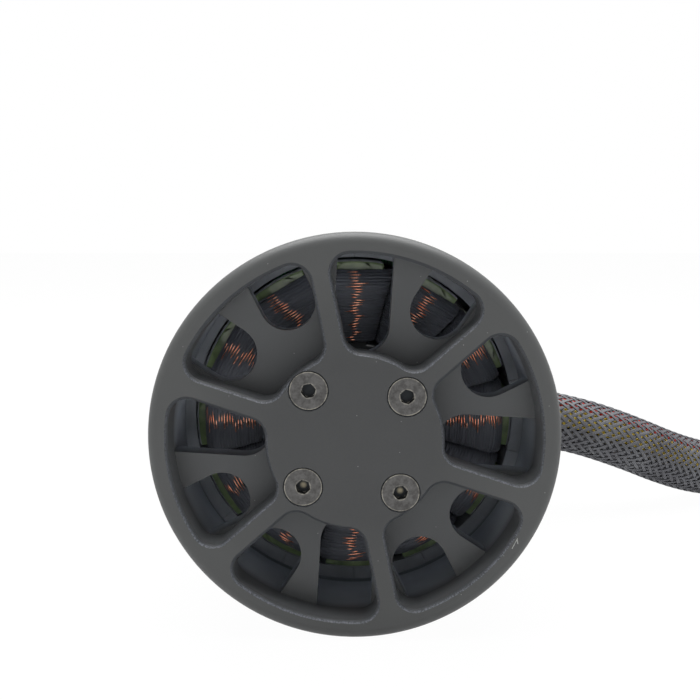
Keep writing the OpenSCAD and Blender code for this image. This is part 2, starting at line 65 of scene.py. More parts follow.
class Look:
    """A node material: a principled shader and the nodes that feed it.
    The shader's own sockets are named with _ for a space."""

    def __init__(self, name, **sockets):
        self.material = bpy.data.materials.new(name)
        self.material.use_nodes = True
        self.tree = self.material.node_tree
        self.shader = self.tree.nodes["Principled BSDF"]
        for key, value in sockets.items():
            self.feed(self.shader.inputs[key.replace("_", " ")], value)

    def feed(self, socket, value):
        """Links another node's output to the socket, or sets a plain value on it."""
        if isinstance(value, bpy.types.NodeSocket):
            self.tree.links.new(value, socket)
        else:
            socket.default_value = value

    def add(self, kind, inputs=(), **settings):
        """A new node, with its settings made and its inputs fed."""
        node = self.tree.nodes.new(kind)
        for key, value in settings.items():
            setattr(node, key, value)
        for key, value in dict(inputs).items():
            self.feed(node.inputs[key], value)
        return node

    def place(self, stretch=(1, 1, 1), turn=(0, 0, 0)):
        """Position on the object, in metres, turned and stretched."""
        spot = self.add("ShaderNodeTexCoord").outputs["Object"]
        inputs = {"Vector": spot, "Scale": stretch, "Rotation": turn}
        return self.add("ShaderNodeMapping", inputs).outputs[0]

    def noise(self, size, detail=3.0, roughness=0.5, at=None):
        """Noise whose blobs are about as wide as size."""
        inputs = {
            "Vector": at or self.place(),
            "Scale": 1 / size,
            "Detail": detail,
            "Roughness": roughness,
        }
        return self.add("ShaderNodeTexNoise", inputs).outputs[0]

    def ramp(self, fac, *stops):
        """Colour or grey through stops of (place, colour)."""
        node = self.add("ShaderNodeValToRGB", {"Fac": fac})
        band = node.color_ramp.elements
        while len(band) < len(stops):
            band.new(0.5)
        for element, (place, colour) in zip(band, stops):
            element.position = place
            element.color = colour if isinstance(colour, tuple) else (colour, colour, colour, 1)
        return node.outputs[0]

    def math(self, operation, a, b=0.0):
        """Result of a sum, product or the like of one or two values."""
        node = self.add("ShaderNodeMath", operation=operation)
        self.feed(node.inputs[0], a)
        self.feed(node.inputs[1], b)
        return node.outputs[0]

    def mix(self, fac, a, b):
        """Colour a where fac is 0, and b where it is 1."""
        node = self.add("ShaderNodeMix", data_type="RGBA")
        for socket, value in ((0, fac), (6, a), (7, b)):
            self.feed(node.inputs[socket], value)
        return node.outputs[2]

    def parts(self, vector):
        """The X, Y and Z of a vector."""
        return self.add("ShaderNodeSeparateXYZ", {"Vector": vector}).outputs

    def stroke(self, ragged, middle, lean, length):
        """A thin ragged line on the face: its middle in x and z, its angle and its length in mm."""
        inputs = {
            "Vector": self.add("ShaderNodeTexCoord").outputs["Object"],
            "Location": (middle[0] * MM, 0, middle[1] * MM),
            "Rotation": (0, -math.radians(lean), 0),
        }
        x, _, z = self.parts(self.add("ShaderNodeMapping", inputs, vector_type="TEXTURE").outputs[0])
        width = self.math("MULTIPLY", ragged, 0.1 * MM)
        long = self.math("LESS_THAN", self.math("ABSOLUTE", x), length / 2 * MM)
        thin = self.math("LESS_THAN", self.math("ABSOLUTE", z), width)
        return self.math("MULTIPLY", long, thin)

    def specks(self, spacing, size, share, at):
        """Small dots, one at most in each cell of a plane, in a share of the cells."""
        inputs = {"Vector": at, "Scale": 1 / spacing}
        cells = self.add("ShaderNodeTexVoronoi", inputs, voronoi_dimensions="2D")
        near = self.math("LESS_THAN", cells.outputs["Distance"], size / spacing)
        chance = self.parts(cells.outputs["Color"])[0]
        return self.math("MULTIPLY", near, self.math("LESS_THAN", chance, share))

    def paint(self, colour, roughness):
        """Feeds the shader's colour and roughness."""
        self.feed(self.shader.inputs["Base Color"], colour)
        self.feed(self.shader.inputs["Roughness"], roughness)

    def bump(self, height, distance, strength=1.0):
        """Relief on the shader, from a height of 0 to 1 and the distance that 1 stands for."""
        inputs = {"Height": height, "Distance": distance, "Strength": strength}
        normal = self.add("ShaderNodeBump", inputs).outputs[0]
        self.feed(self.shader.inputs["Normal"], normal)

    def between(self, low, high, value):
        """Share of the way of a value from low to high, kept within 0 and 1."""
        inputs = {"Value": value, "From Min": low, "From Max": high}
        return self.add("ShaderNodeMapRange", inputs).outputs[0]

    def radius(self):
        """Distance from the motor's axis."""
        flat = self.place(stretch=(1, 0, 1))
        return self.add("ShaderNodeVectorMath", {0: flat}, operation="LENGTH").outputs["Value"]


def bell_look():
    """Matt black anodising: painted paler deep inside as light there, chipped on the chamfers with a
    painted highlight on their upward lips, with dust and a scratch.
    """
    look = Look("bell_alloy", Specular_IOR_Level=0.3)
    cloud = look.noise(9 * MM, 4)
    grain = look.noise(0.16 * MM, 2, 0.7)
    outward = look.between(12 * MM, 30 * MM, look.radius())
    tone = look.math("ADD", look.math("MULTIPLY", cloud, 0.4), outward)
    base = look.ramp(tone, (0.1, tint("#393a3b")), (1.0, tint("#484949")))
    base = look.mix(look.math("MULTIPLY", grain, 0.35), base, tint("#575858"))
    # Painted light: paler with depth, the walls of the recess a little and the inner wall behind the
    # spokes much more, as light that lifts the dark inside
    skirt_depth = 17 * MM
    stops = (0.02, 0.0), (0.07, 0.05), (0.275, 0.05), (0.29, 0.015), (0.45, 0.5), (0.8, 1.0)
    depth = look.math("SUBTRACT", look.parts(look.place())[1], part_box("bell_cap")[0].y)
    painted_light_with_depth = look.ramp(look.between(0, skirt_depth, depth), *stops)
    opening_r = 29.5 * MM
    inside = look.math("LESS_THAN", look.radius(), opening_r)
    base = look.mix(look.math("MULTIPLY", painted_light_with_depth, inside), base, tint("#bdc4cf"))
    # The chamfers are painted dark, with chipped lips near the face; where they face up, the paler
    # chips are also a painted highlight from above. They slope by 45 degrees.
    _, along, upward = look.parts(look.add("ShaderNodeTexCoord").outputs["Normal"])
    slope = look.math("SUBTRACT", look.math("ABSOLUTE", along), math.sqrt(0.5))
    slanted = look.math("LESS_THAN", look.math("ABSOLUTE", slope), 0.08)
    chamfer = look.math("MULTIPLY", slanted, inside)
    chips = look.ramp(look.noise(0.28 * MM, 3, 0.75), (0.4, 0.0), (0.6, 1.0))
    near_face = look.between(0.34 * MM, 0.12 * MM, depth)
    # Painted highlight: the chips near the face show only where the chamfer faces up
    highlit_lip = look.math("MULTIPLY", near_face, look.between(-0.6, 0.5, upward))
    edge = look.math("MULTIPLY", look.math("MULTIPLY", chamfer, chips), highlit_lip)
    base = look.mix(edge, look.mix(chamfer, base, tint("#35373a")), tint("#6d7077"))
    dust = look.specks(3.2 * MM, 0.08 * MM, 0.2, look.place(turn=(math.pi / 2, 0, 0)))
    ragged = look.noise(0.3 * MM, 2)
    long_one = look.stroke(ragged, (24.5, -15.8), 64, 1.9)
    short_one = look.stroke(ragged, (24.9, -15.5), 100, 0.8)
    scratch = look.math("MAXIMUM", long_one, short_one)
    marks = look.math("MAXIMUM", look.math("MULTIPLY", dust, cloud), scratch)
    base = look.mix(marks, base, tint("#9a9b98"))
    look.paint(base, look.ramp(grain, (0.3, 0.4), (0.7, 0.52)))
    look.bump(grain, 0.012 * MM, 0.5)
    return look.material


def turned_metal(name, dark, light, roughness, groove, metallic=1.0, depth=0.004 * MM):
    """Metal with the fine grooves that a lathe leaves round the motor's axis, on faces and walls."""
    look = Look(name, Metallic=metallic)
    rings = look.math("ADD", look.radius(), look.parts(look.place())[1])
    wave = look.math("SINE", look.math("MULTIPLY", rings, 2 * math.pi / groove))
    smudge = look.noise(4 * MM, 4, 0.6)
    base = look.ramp(smudge, (0.3, tint(dark)), (0.7, tint(light)))
    dull = look.ramp(smudge, (0.3, roughness), (0.7, roughness + 0.12))
    look.paint(base, dull)
    look.bump(wave, depth, 0.6)
    return look.material


def grained(name, dark, light, roughness, size, depth, metallic=0.0):
    """A mottled surface with a fine grain."""
    look = Look(name, Metallic=metallic)
    cloud = look.noise(12 * size, 3)
    grain = look.noise(size, 3, 0.6)
    base = look.ramp(cloud, (0.3, tint(dark)), (0.7, tint(light)))
    dull = look.ramp(grain, (0.3, roughness), (0.7, roughness + 0.15))
    look.paint(base, dull)
    look.bump(grain, depth)
    return look.material


def can_look():
    """Blackened steel, painted paler grey inside as light that lifts the dark there."""
    look = Look("can_steel")
    cloud = look.noise(3 * MM, 3)
    grain = look.noise(0.25 * MM, 3, 0.6)
    outer = look.ramp(cloud, (0.3, tint("#3f4245")), (0.7, tint("#4b4e51")))
    wall_mid_r = 30.5 * MM
    inside = look.math("LESS_THAN", look.radius(), wall_mid_r)
    # Painted light: the inside is pale grey
    base = look.mix(inside, outer, tint("#88919a"))
    look.paint(base, look.ramp(grain, (0.3, 0.34), (0.7, 0.48)))
    look.bump(grain, 0.01 * MM)
    return look.material


def screw_look(circle_r, turn):
    """Oiled dark steel, turned on each of the four heads, with pale rings at their edges that are
    partly rubbed and partly painted highlight, painted shade in the sockets and a painted reflection
    in the two lower ones.
    """
    look = Look("screw_steel", Metallic=1.0)
    # Distance from the axis of the nearest screw
    x, _, z = look.parts(look.place(turn=(0, -math.radians(turn), 0)))
    screw_at = circle_r * math.sqrt(0.5)
    offsets = [look.math("SUBTRACT", look.math("ABSOLUTE", value), screw_at) for value in (x, z)]
    squares = [look.math("MULTIPLY", offset, offset) for offset in offsets]
    out = look.math("SQRT", look.math("ADD", *squares))
    smudge = look.noise(0.7 * MM, 4, 0.65)
    base = look.ramp(smudge, (0.35, tint("#4e4d4c")), (0.65, tint("#6a6968")))
    # Bright round the socket and at the rim, partly rubbed and partly painted highlight, as shares of
    # the head's radius
    head_r, socket_r = 3 * MM, 1 * MM
    rings = (0.34, 0.0), (0.37, 0.6), (0.42, 0.0), (0.9, 0.0), (0.96, 1.0)
    worn_and_highlit = look.ramp(look.math("DIVIDE", out, head_r), *rings)
    patchy = look.ramp(smudge, (0.4, 0.2), (0.6, 1.0))
    base = look.mix(look.math("MULTIPLY", worn_and_highlit, patchy), base, tint("#b2aea2"))
    # Painted shade: the socket is painted dark
    base = look.mix(look.math("LESS_THAN", out, socket_r), base, tint("#2e3032"))
    # The floor of the two lower sockets is painted pale, as a painted reflection of light from the
    # front
    tip = look.math("MULTIPLY", look.between(0.6 * MM, 0.2 * MM, out), look.math("LESS_THAN", z, 0))
    base = look.mix(look.math("MULTIPLY", tip, smudge), base, tint("#aea48b"))
    look.paint(base, look.ramp(smudge, (0.3, 0.34), (0.7, 0.5)))
    groove = 0.16 * MM
    wave = look.math("SINE", look.math("MULTIPLY", out, 2 * math.pi / groove))
    look.bump(look.math("ADD", wave, look.math("MULTIPLY", smudge, 4.0)), 0.004 * MM, 0.7)
    return look.material


def copper_look():
    """Copper wire under varnish painted pale grey as light that lifts the dark between the turns,
    bare on a thin strip of each turn's top, which is partly rubbed varnish and partly a painted
    highlight.
    """
    look = Look("copper")
    patch = look.noise(1.4 * MM, 3)
    bare = look.ramp(patch, (0.3, tint("#eb845f")), (0.7, tint("#f9b99b")))
    wear_and_highlight = look.add("ShaderNodeAttribute", attribute_name="wear_and_highlight").outputs["Fac"]
    worn_and_highlit = look.ramp(wear_and_highlight, (0.38, 0.0), (0.6, 1.0))
    # The varnish is painted pale grey as light that lifts the dark inside; the bare copper is partly
    # a painted highlight
    base = look.mix(worn_and_highlit, tint("#71747c"), bare)
    look.paint(base, look.ramp(worn_and_highlit, (0.0, 0.75), (1.0, 0.25)))
    look.feed(look.shader.inputs["Metallic"], worn_and_highlit)
    return look.material


def coating_look():
    """Thick green varnish, painted dark grey near the axis as shade between the coils, and ground
    bare steel round the outside.
    """
    look = Look("stator_coating", Coat_Weight=0.8, Coat_Roughness=0.06)
    runs = look.noise(2.6 * MM, 3, 0.55, look.place(stretch=(1, 0.4, 1)))
    pores = look.noise(0.25 * MM, 2)
    thick = look.ramp(runs, (0.3, tint("#687d54")), (0.7, tint("#8ea36f")))
    dark_r = 22 * MM
    ground_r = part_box("stator_core")[1].x - 0.35 * MM
    # Painted shade: nearer the axis than dark_r, the coating is dark grey
    within = look.math("LESS_THAN", look.radius(), dark_r)
    ground = look.math("GREATER_THAN", look.radius(), ground_r)
    base = look.mix(ground, look.mix(within, thick, tint("#54585a")), tint("#b9bcc0"))
    look.paint(base, look.ramp(pores, (0.3, 0.3), (0.7, 0.42)))
    look.feed(look.shader.inputs["Metallic"], look.math("MULTIPLY", ground, 0.3))
    look.bump(runs, 0.12 * MM, 0.22)
    return look.material


def board_look():
    """Green solder mask over faint copper traces."""
    look = Look("board", Coat_Weight=0.3, Coat_Roughness=0.2)
    inputs = {"Vector": look.place(), "Scale": 420.0, "Distortion": 3.0}
    traces = look.add("ShaderNodeTexWave", inputs).outputs[0]
    base = look.ramp(traces, (0.42, tint("#2b623a")), (0.5, tint("#3c814b")))
    look.paint(base, look.ramp(look.noise(0.5 * MM), (0.3, 0.35), (0.7, 0.5)))
    look.bump(traces, 0.02 * MM)
    return look.material


LOOKS = {
    "bell_alloy": bell_look(),
    "base_alloy": turned_metal("base_alloy", "#58595b", "#67696a", 0.42, 0.35 * MM, metallic=0.0),
    "can_steel": can_look(),
    "screw_steel": screw_look(circle_r=10.5 * MM, turn=3.5),
    "shaft_steel": turned_metal("shaft_steel", "#85878a", "#a2a4a7", 0.24, 0.22 * MM),
    "shim_steel": turned_metal("shim_steel", "#a5a6a8", "#c2c3c4", 0.3, 0.3 * MM),
    "clip_steel": grained("clip_steel", "#3c3e41", "#54575a", 0.35, 0.2 * MM, 0.01 * MM, 1.0),
    "stator_coating": coating_look(),
    "copper": copper_look(),
    "lead_sleeving": grained("lead_sleeving", "#252527", "#333335", 0.5, 0.3 * MM, 0.04 * MM),
    # The magnets are painted pale grey, as light that lifts the dark inside the rotor
    "magnet_coating": grained("magnet_coating", "#9ca1a8", "#abb0b7", 0.3, 0.3 * MM, 0.015 * MM),
    "bearing_steel": turned_metal(
        "bearing_steel", "#a9abad", "#c6c8ca", 0.16, 0.12 * MM, depth=0.001 * MM,
    ),
    "ball_steel": grained("ball_steel", "#c4c6c8", "#d9dbdd", 0.08, 0.4 * MM, 0.001 * MM, 1.0),
    "cage_steel": grained("cage_steel", "#7a6a3c", "#97864f", 0.34, 0.3 * MM, 0.01 * MM, 1.0),
    "shield_steel": turned_metal("shield_steel", "#8f9193", "#acaeb0", 0.25, 0.18 * MM),
    "board": board_look(),
    "sensor_case": grained("sensor_case", "#1e1e20", "#2b2b2e", 0.55, 0.12 * MM, 0.01 * MM),
    "grommet_rubber": grained("grommet_rubber", "#2c2c2e", "#3a3a3c", 0.62, 0.2 * MM, 0.03 * MM),
    "braid": grained("braid", "#47474c", "#5a5b5f", 0.5, 0.5 * MM, 0.02 * MM),
    "shrink_tube": grained("shrink_tube", "#242425", "#353536", 0.42, 0.6 * MM, 0.05 * MM),
    "wire_red": grained("wire_red", "#c11e19", "#dd2e25", 0.45, 0.3 * MM, 0.01 * MM),
    "wire_yellow": grained("wire_yellow", "#e1ad16", "#e1b530", 0.45, 0.3 * MM, 0.01 * MM),
    "wire_black": grained("wire_black", "#262628", "#373738", 0.45, 0.3 * MM, 0.01 * MM),
    # Lit copies of the lead colours: the wires inside the sleeve are painted paler, as light against
    # the braid's shade
    "inner_red_lit": grained("inner_red_lit", "#e13027", "#e14b3d", 0.5, 0.3 * MM, 0.01 * MM),
    "inner_yellow_lit": grained("inner_yellow_lit", "#e1bf38", "#e1c553", 0.5, 0.3 * MM, 0.01 * MM),
    "inner_black_lit": grained("inner_black_lit", "#5c5c61", "#6f6f74", 0.5, 0.3 * MM, 0.01 * MM),
    "sensor_wire": grained("sensor_wire", "#2b2d31", "#3d3f42", 0.5, 0.2 * MM, 0.01 * MM),
    "gold_plate": grained("gold_plate", "#b98a30", "#d0a54c", 0.2, 0.25 * MM, 0.006 * MM, 1.0),
    "plug_plastic": grained("plug_plastic", "#c7c1b1", "#dad6c7", 0.4, 0.5 * MM, 0.01 * MM),
}


# Meshes

class Form:
    """Points and faces that grow part by part, with a material number for each face."""

    def __init__(self):
        self.points, self.faces, self.marks, self.wear_and_highlight = [], [], [], []

    def add(self, points, faces, mark, wear_and_highlight):
        """Takes in points, and faces that count their corners from the first of these points."""
        first = len(self.points)
        self.points += points
        self.faces += [tuple(first + i for i in face) for face in faces]
        self.marks += [mark] * len(faces)
        self.wear_and_highlight += wear_and_highlight or [0.0] * len(points)

    def loft(self, rings, mark=0, closed=False, wear_and_highlight=None):
        """Skin over rings of equally many points, closed to a loop or capped at both ends.
        The last argument gives a share for each point, of rubbed varnish and painted highlight."""
        n, count = len(rings[0]), len(rings)
        faces = []
        for i in range(count if closed else count - 1):
            low, high = i * n, (i + 1) % count * n
            faces += [(low + k, low + (k + 1) % n, high + (k + 1) % n, high + k) for k in range(n)]
        if not closed:
            faces += [tuple(reversed(range(n))), tuple(range((count - 1) * n, count * n))]
        self.add([p for ring in rings for p in ring], faces, mark, wear_and_highlight)

    def piece(self, name, body, slots, sharp=None, finish=None):
        """The mesh as a piece that rides on a body. The finish argument is not used."""
        mesh = bpy.data.meshes.new(name)
        mesh.from_pydata(self.points, [], self.faces)
        for slot in slots:
            mesh.materials.append(LOOKS[slot])
        mesh.polygons.foreach_set("material_index", self.marks)
        if any(self.wear_and_highlight):
            mesh.attributes.new("wear_and_highlight", "FLOAT", "POINT").data.foreach_set("value", self.wear_and_highlight)
        mesh.shade_smooth()
        if sharp:
            mesh.set_sharp_from_angle(angle=math.radians(sharp))
        mesh.update()
        obj = bpy.data.objects.new(name, mesh)
        scene.collection.objects.link(obj)
        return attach(obj, body)


def curve_through(points, step):
    """Points about a step apart on a smooth curve through the given ones."""
    ends = [2 * points[0] - points[1], *points, 2 * points[-1] - points[-2]]
    line = []
    for a, b, c, d in zip(ends, ends[1:], ends[2:], ends[3:]):
        count = max(1, round((c - b).length / step))
        for t in (i / count for i in range(count)):
            line.append(0.5 * (2 * b + (c - a) * t + (2 * a - 5 * b + 4 * c - d) * t ** 2
                               + (3 * b - a - 3 * c + d) * t ** 3))
    return line + [points[-1]]


def axes_along(line):
    """The directions along, beside and above a line at each of its points."""
    last = len(line) - 1
    found = []
    for i in range(last + 1):
        along = (line[min(i + 1, last)] - line[max(i - 1, 0)]).normalized()
        side = along.cross(UP).normalized()
        found.append((along, side, side.cross(along)))
    return found


def ring_of(centre, radius, side, over, sides):
    """Points round a centre, in the plane of two directions."""
    turns = (2 * math.pi * k / sides for k in range(sides))
    return [centre + radius * (math.cos(a) * side + math.sin(a) * over) for a in turns]


def tube(form, line, radius, sides, mark=0):
    """A round tube along a line."""
    axes = axes_along(line)
    rings = [ring_of(p, radius, side, over, sides) for p, (_, side, over) in zip(line, axes)]
    form.loft(rings, mark)


def turned(form, origin, along, profile, sides):
    """A body turned about a direction, from a profile of (distance along, radius)."""
    side = along.cross(UP).normalized()
    over = side.cross(along)
    form.loft([ring_of(origin + far * along, r, side, over, sides) for far, r in profile])


# Camera

def make_camera():
    """The photograph's view: slightly from above, straight at the face of the bell."""
    image_px = 700
    focal_px = 874.4
    sensor = 36
    pitch = math.radians(7.441)
    yaw = math.radians(0.1)
    data = bpy.data.cameras.new("camera")
    data.sensor_width = sensor
    data.lens = focal_px / image_px * sensor
    data.clip_start = 5 * MM
    data.clip_end = 20
    camera = bpy.data.objects.new("camera", data)
    camera.location = Vector((-0.951, -202.79, 30.884)) * MM
    camera.rotation_euler = (math.pi / 2 - pitch, 0, -yaw)
    scene.collection.objects.link(camera)
    scene.camera = camera


# Cords. The routes are those of the model's source, here turned into metres.

def route(*points):
    """Points given in millimetres."""
    return [Vector(p) * MM for p in points]


SLEEVE_ROUTE = route(
    (41.898, -9, -9.673), (46.77, -9, -10.798), (52.9, -8.6, -12.4), (59, -7.7, -14.5),
    (65, -6.4, -16.9), (71, -4.7, -19.5), (77, -2.7, -21.8), (83, -0.2, -23.6), (89, 2.7, -24.7),
    (95, 6.2, -25.1), (101, 10.4, -25.1), (107, 15.2, -25.1), (112.8, 20.7, -25.1),
    (118.3, 26.7, -25.1), (123.4, 33.1, -25.1), (128.2, 39.8, -25.1), (132.7, 46.7, -25.1),
)
RED_ROUTE = route(
    (142.5, 58.82, -22.1), (145.2, 62.96, -22.1), (149.8, 67.2, -22.7), (155.8, 70.3, -24.8),
    (162.2, 73.1, -27.6), (168.9, 76.2, -29.3), (174.5, 79.3, -29.3),
)
YELLOW_ROUTE = route(
    (138.8, 61.23, -23.9), (141.2, 64.91, -23.9), (144.2, 70.4, -25.2), (146.6, 77, -27.6),
    (148.5, 84, -29.1), (150.4, 90.3, -29.3), (152.5, 96.4, -29.3),
)
BLACK_ROUTE = route(
    (143.4, 58.23, -27.2), (146.4, 62.83, -27.2), (149.9, 68.1, -27.9), (153.4, 73.5, -28.9),
    (157.3, 79, -29.3), (161.1, 84.3, -29.3), (165, 89.3, -29.3),
)
SENSOR_ROUTE = route(
    (139.6, 60.71, -28.9), (141.9, 64.24, -28.9), (142.9, 70.6, -29.4), (142.9, 77.5, -29.9),
    (142.7, 85, -30), (142.6, 93.2, -30), (142.8, 99.7, -30),
)
SLEEVE_D = 12.8 * MM
WIRE_D = 4.4 * MM
SENSOR_D = 3 * MM


def length_of(line):
    """Length along a line of points."""
    return sum((b - a).length for a, b in zip(line, line[1:]))


def lying(line, radius):
    """The line of a round wire, lifted where its curve dips into the floor."""
    for point in line:
        point.z = max(point.z, floor_z + radius)
    return line


class Tunnel:
    """Cylinder coordinates round a line: distance along it, angle and radius."""

    def __init__(self, line):
        self.line, self.axes = line, axes_along(line)
        self.length = length_of(line)
        self.step = self.length / (len(line) - 1)

    def at(self, far, angle, radius):
        """The point at these coordinates. It stops just short of the line's last point."""
        share = min(max(far / self.step, 0), len(self.line) - 1.001)
        i = int(share)
        t = share - i
        centre = self.line[i].lerp(self.line[i + 1], t)
        side = self.axes[i][1].lerp(self.axes[i + 1][1], t)
        over = self.axes[i][2].lerp(self.axes[i + 1][2], t)
        return centre + radius * (math.cos(angle) * side + math.sin(angle) * over)


def braid(form, tunnel, carriers=24, angle=38, ribbon_r=5.99 * MM, lift=0.13 * MM):
    """Flat ribbons of three filaments, which wind both ways and pass over two and under two."""
    rings_per_crossing = 1.6
    slope = math.radians(angle)
    twist = math.tan(slope) / ribbon_r
    crossing = math.pi / carriers / twist
    # Across the ribbon and out from the axis, round the section of one ribbon
    section = [(x * MM, h * MM) for x, h in (
        (-0.35, 0.07), (-0.23, 0.2), (-0.12, 0.13), (0, 0.2),
        (0.12, 0.13), (0.23, 0.2), (0.35, 0.07), (0, -0.02),
    )]
    count = int(tunnel.length / crossing * rings_per_crossing)
    for way in (1, -1):
        for carrier in range(carriers):
            rings = []
            for i in range(count + 1):
                far = tunnel.length * i / count
                turn = 2 * math.pi * carrier / carriers + way * twist * far
                # Its height follows from which of the opposite ribbons it meets here
                met = carrier + way * far / crossing
                wave = way * math.cos(math.pi / 2 * (carrier + met - 0.5))
                height = lift * max(-1, min(1, 1.5 * wave))
                rings.append([
                    tunnel.at(
                        min(max(far - way * x * math.sin(slope), 0), tunnel.length),
                        turn + x * math.cos(slope) / ribbon_r,
                        ribbon_r + height + h,
                    )
                    for x, h in section
                ])
            form.loft(rings)


def make_sleeve():
    """The braided sleeve with the wires that show through it."""
    line = curve_through(SLEEVE_ROUTE, 1.2 * MM)
    tunnel = Tunnel(line)
    form = Form()
    braid(form, tunnel)
    sleeve = form.piece("cable_braid", "stator", ["braid"])
    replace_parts(sleeve, "cable_sleeve")
    inner = Form()
    # Angle at the start, distance from the axis, radius and sides, in the order of the slots
    slots = ["inner_red_lit", "inner_yellow_lit", "inner_black_lit", "sensor_wire"]
    inner_wires = (
        (97, 3.7 * MM, 2.1 * MM, 16),
        (27, 3.7 * MM, 2.1 * MM, 16),
        (-43, 3.7 * MM, 2.1 * MM, 16),
        (-108, 3.9 * MM, SENSOR_D / 2, 10),
    )
    steps, twist = 90, 10
    for mark, (start, out, radius, sides) in enumerate(inner_wires):
        path = [
            tunnel.at(tunnel.length * i / steps, math.radians(start + twist * i / steps), out)
            for i in range(steps + 1)
        ]
        tube(inner, path, radius, sides, mark)
    wires = inner.piece("sleeve_wires", "stator", slots, finish="wire_red")
    collar = make_collar(line)


def make_collar(line):
    """Shrink tube over the end of the braid, pulled in a little round the wires."""
    along = (SLEEVE_ROUTE[-1] - SLEEVE_ROUTE[-2]).normalized()
    r = SLEEVE_D / 2
    # How far along, and how far within the sleeve's radius, in mm
    profile = [(-0.2, 0.6), (-0.2, 0.02), (0.4, 0)]
    profile += [(0.4 + i * 0.6, 0.05 + 0.05 * math.sin(i * 1.9)) for i in range(1, 22)]
    profile += [(13.9, 0.25), (14.8, 0.55), (15.3, 0.9), (15.4, 1.2), (15.1, 1.5), (14.2, 1.6)]
    form = Form()
    outline = [(far * MM, r - inward * MM) for far, inward in profile]
    turned(form, SLEEVE_ROUTE[-1], along, outline, 48)
    collar = form.piece("collar_tube", "stator", ["shrink_tube"])
    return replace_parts(collar, "shrink_collar")


def make_bullet(name, points):
    """Gold pin: a solder cup, a neck, and a spring of six leaves round a core."""
    start, along = points[-1], points[-1] - points[-2]
    along = Vector((along.x, along.y, 0)).normalized()
    form = Form()
    # Distance along and radius in mm: the cup with its groove, the neck, the core and the tip
    body = [
        (0, 1.75), (0, 2.05), (0.15, 2.2), (3, 2.2), (3.1, 2.12), (3.3, 2.12), (3.4, 2.2), (8.9, 2.2),
        (9.2, 1.95), (9.25, 1.5), (10.4, 1.5), (10.4, 1.15), (18.6, 1.15),
        (18.6, 1.3), (19.3, 1.3), (19.85, 0.9), (20, 0.5),
    ]
    turned(form, start, along, [(far * MM, r * MM) for far, r in body], 40)
    side = along.cross(UP).normalized()
    leaves, share, steps, thickness = 6, 0.86, 5, 0.28 * MM
    leaf_turn = 2 * math.pi / leaves
    stations = (10.4, 10.9, 11.8, 13, 14.6, 16.2, 17.4, 18.2, 18.6)
    for leaf in range(leaves):
        rings = []
        for far in stations:
            bulge = math.sin(math.pi * (far - stations[0]) / (stations[-1] - stations[0]))
            outer = (1.55 + 0.43 * bulge) * MM
            arc = [leaf_turn * (leaf + share * (k / steps - 0.5)) for k in range(steps + 1)]
            ring = [(a, outer) for a in arc] + [(a, outer - thickness) for a in reversed(arc)]
            rings.append([
                start + far * MM * along + r * (math.cos(a) * side + math.sin(a) * UP)
                for a, r in ring
            ])
        form.loft(rings)
    pin = form.piece(f"{name}_pin", "stator", ["gold_plate"], sharp=40)
    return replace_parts(pin, name)


def make_phase_wire(colour, points):
    """The free end of a phase wire with its bullet connector."""
    line = lying(curve_through(points, 1.1 * MM), WIRE_D / 2)
    form = Form()
    tube(form, line, WIRE_D / 2, 20)
    wire = form.piece(f"lead_{colour}", "stator", [f"wire_{colour}"])
    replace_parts(wire, f"phase_wire_{colour}")
    pin = make_bullet(f"bullet_{colour}", points)


def make_sensor_wires():
    """Six thin wires, twisted together, then spread over the plug's six places."""
    fan_len, step = 9 * MM, 0.6 * MM
    strands, strand_r = 6, 0.5 * MM
    steps, lay_length, plug_pitch = 60, 16 * MM, 2.5 * MM
    line = lying(curve_through(SENSOR_ROUTE, step), SENSOR_D / 2)
    end = line[-1]
    bundle = line[:-round(fan_len / step)]
    tunnel, lay_out = Tunnel(bundle), SENSOR_D / 2 - strand_r
    form, fan = Form(), Form()
    along = (end - SENSOR_ROUTE[-2]).normalized()
    side = along.cross(UP).normalized()
    for k in range(strands):
        twist = [
            tunnel.at(far, 2 * math.pi * (k / strands + far / lay_length), lay_out)
            for far in (tunnel.length * i / steps for i in range(steps + 1))
        ]
        tube(form, twist, strand_r, 8)
        # It leaves the bundle along its run, and enters the plug straight
        target = end + (k - (strands - 1) / 2) * plug_pitch * side
        bow = [
            twist[-1], twist[-1] + 2.2 * MM * along,
            target - 3.2 * MM * along, target + 0.4 * MM * along,
        ]
        tube(fan, lying(curve_through(bow, 0.7 * MM), strand_r), strand_r, 8)
    wires = form.piece("sensor_lead", "stator", ["sensor_wire"])
    spread = fan.piece("sensor_fan", "stator", ["sensor_wire"])
    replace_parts(wires, "sensor_wires")


make_camera()
make_sleeve()
make_phase_wire("red", RED_ROUTE)
make_phase_wire("yellow", YELLOW_ROUTE)
make_phase_wire("black", BLACK_ROUTE)
make_sensor_wires()


# Windings

TEETH = 12
STACK_NEAR_Y, STACK_FAR_Y = (corner.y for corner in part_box("stator_core"))
STACK_HALF = (STACK_FAR_Y - STACK_NEAR_Y) / 2
STACK_MID_Y = (STACK_FAR_Y + STACK_NEAR_Y) / 2
COIL_IN_R, COIL_OUT_R = 13.4 * MM, 25.1 * MM
CROWN_LOW, CROWN_HIGH = 2 * MM, 3.9 * MM
SIDE_GAP = 0.03 * MM
STRAND_R = 0.19 * MM
BURIED = 0.2 * MM
FILL_INSET, FILL_R = 0.62 * MM, 0.44 * MM


def around(angle, radius, beside, forward):
    """A point from its place on a tooth: out along it, beside it, and towards the bell."""
    return Vector((
        radius * math.cos(angle) - beside * math.sin(angle),
        STACK_MID_Y - forward,
        radius * math.sin(angle) + beside * math.cos(angle),
    ))


